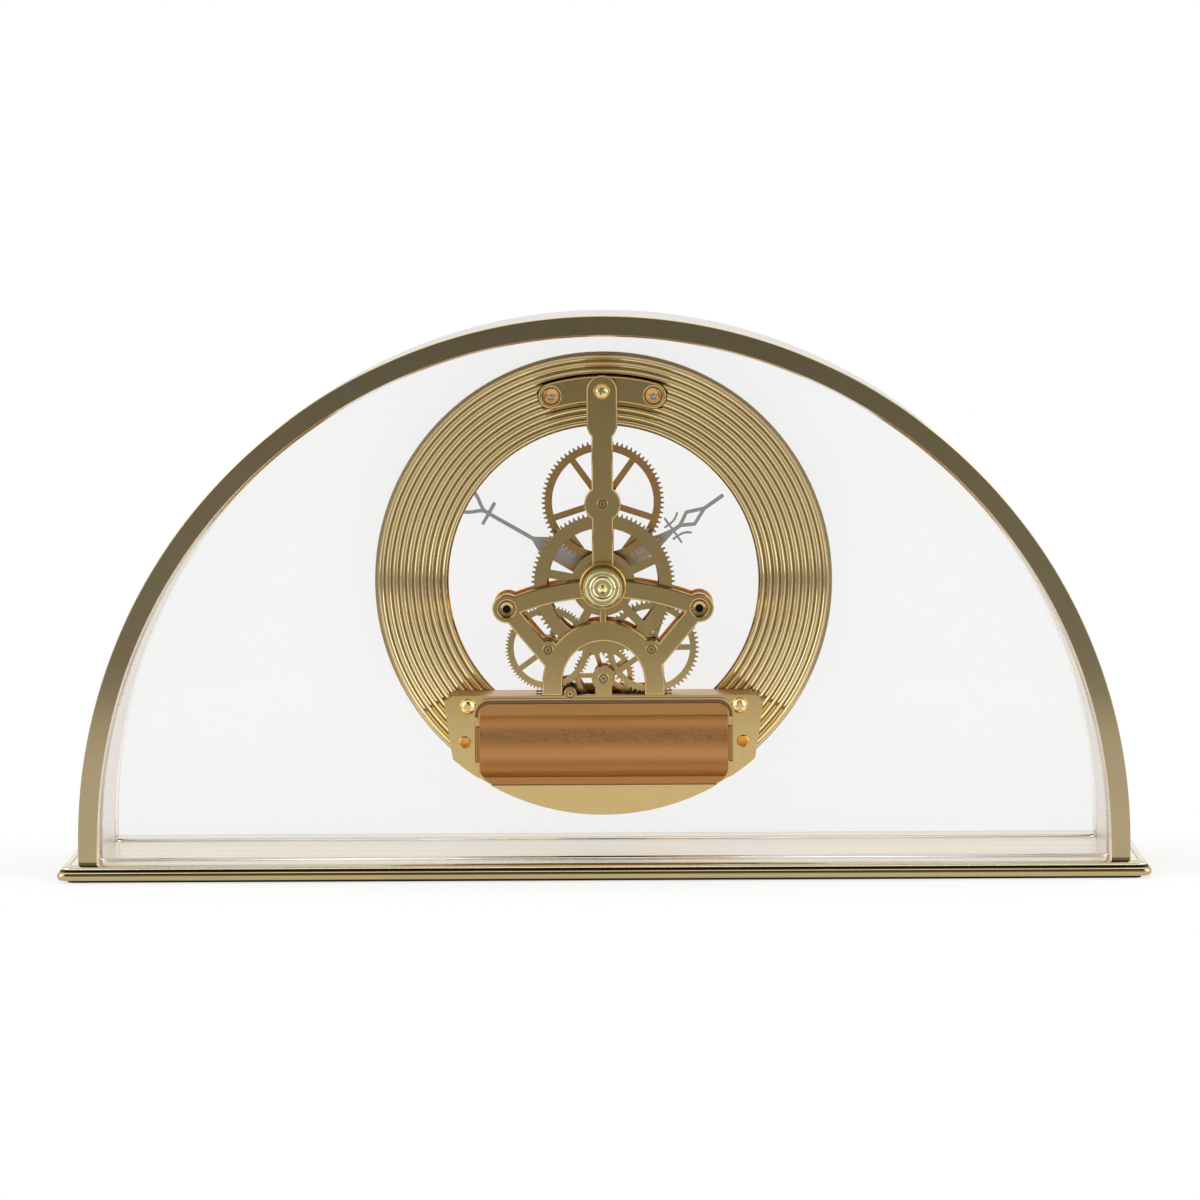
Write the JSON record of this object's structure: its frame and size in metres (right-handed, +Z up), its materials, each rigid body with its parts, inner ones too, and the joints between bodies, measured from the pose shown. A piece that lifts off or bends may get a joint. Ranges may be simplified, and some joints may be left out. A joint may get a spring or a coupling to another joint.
{
  "type": "skeleton mantel clock",
  "caption": "Half-moon gold mantel clock on a moulded base: open quartz movement with turning wheels behind a ridged ring dial, set by a rear knob, run by an AA cell under a pull-off cover.",
  "frame": {"origin": "middle of the underside of the base", "axes": "+Z up, the dial faces -Y, the back of the movement faces +Y, +X to the right seen from the front"},
  "size_m": [0.252, 0.06, 0.1298],
  "materials": {
    "polished_gold": "polished",
    "brushed_brass": "brushed satin",
    "arch_gold": "gold anodised, satin",
    "plated_gold": "gold plated moulding",
    "ring_gold": "bright gold plated moulding",
    "wheel_gold": "gold plated moulding",
    "copper_satin": "satin copper colour",
    "steel": "plain",
    "hand_grey": "plain, unpolished at the back",
    "enamel": "cream print",
    "black_rubber": "matt",
    "magnet": "dull",
    "coil_copper": "enamelled wire",
    "board_green": "lacquered board",
    "cell_sleeve": "plain sleeve",
    "clear_glass": "clear"
  },
  "bodies": {
    "case": {"base_plinth": "polished_gold", "base_top_plate": "brushed_brass", "base_pad": "black_rubber", "arch_frame": "arch_gold", "arch_screw_1": "steel", "arch_screw_2": "steel", "arch_screw_3": "steel", "arch_screw_4": "steel", "front_glass": "clear_glass", "dial_gasket": "black_rubber", "dial_ring": "ring_gold", "chapter_ring": "enamel", "top_bracket": "ring_gold", "bracket_screw_left": "steel", "bracket_screw_right": "steel", "bridge_screw": "polished_gold", "rear_bridge": "plated_gold", "front_plate": "plated_gold", "post_left": "polished_gold", "post_right": "polished_gold", "stator": "steel", "coil": "coil_copper", "circuit_board": "board_green", "battery_housing": "ring_gold", "housing_screw_left": "steel", "housing_screw_right": "steel", "rivet_left": "polished_gold", "rivet_right": "polished_gold", "aa_cell": "cell_sleeve", "positive_contact": "steel", "negative_contact": "steel"},
    "minute": {"minute_arbor": "steel", "setting_knob": "ring_gold", "centre_wheel": "plated_gold", "minute_pinion": "wheel_gold", "minute_hand": "hand_grey", "hand_nut": "polished_gold"},
    "hour": {"hour_wheel": "wheel_gold", "hour_hand": "hand_grey"},
    "upper": {"upper_arbor": "steel", "upper_wheel": "wheel_gold"},
    "left": {"left_arbor": "steel", "left_wheel": "wheel_gold"},
    "right": {"right_arbor": "steel", "right_wheel": "wheel_gold"},
    "lower": {"lower_arbor": "steel", "lower_wheel": "wheel_gold"},
    "rotor": {"rotor_pinion": "steel", "rotor_magnet": "magnet"},
    "cover": {"battery_cover": "copper_satin"}
  },
  "joints": [
    {"name": "minute_turn", "type": "hinge", "parent": "case", "child": "minute", "pos_m": [0, 0, 0.0664], "axis": [0, 1, 0], "continuous": true},
    {"name": "hour_turn", "type": "hinge", "parent": "case", "child": "hour", "pos_m": [0, 0, 0.0664], "axis": [0, 1, 0], "continuous": true},
    {"name": "upper_turn", "type": "hinge", "parent": "case", "child": "upper", "pos_m": [0, 0, 0.0853], "axis": [0, 1, 0], "continuous": true},
    {"name": "left_turn", "type": "hinge", "parent": "case", "child": "left", "pos_m": [0.01298, 0, 0.05121], "axis": [0, 1, 0], "continuous": true},
    {"name": "right_turn", "type": "hinge", "parent": "case", "child": "right", "pos_m": [-0.01125, 0, 0.05125], "axis": [0, 1, 0], "continuous": true},
    {"name": "lower_turn", "type": "hinge", "parent": "case", "child": "lower", "pos_m": [0.00001, 0, 0.04446], "axis": [0, 1, 0], "continuous": true},
    {"name": "rotor_turn", "type": "hinge", "parent": "case", "child": "rotor", "pos_m": [0.00782, 0, 0.04093], "axis": [0, 1, 0], "continuous": true},
    {"name": "cover_pull", "type": "slide", "parent": "case", "child": "cover", "axis": [0, 1, 0], "range_m": [0, 0.03]}
  ],
  "couplings": [
    {"joint": "hour_turn", "follows": "minute_turn", "ratio": 0.083333},
    {"joint": "upper_turn", "follows": "minute_turn", "ratio": -0.33333},
    {"joint": "left_turn", "follows": "minute_turn", "ratio": -5},
    {"joint": "right_turn", "follows": "minute_turn", "ratio": -7.5},
    {"joint": "lower_turn", "follows": "minute_turn", "ratio": 37.5},
    {"joint": "rotor_turn", "follows": "minute_turn", "ratio": -180}
  ]
}
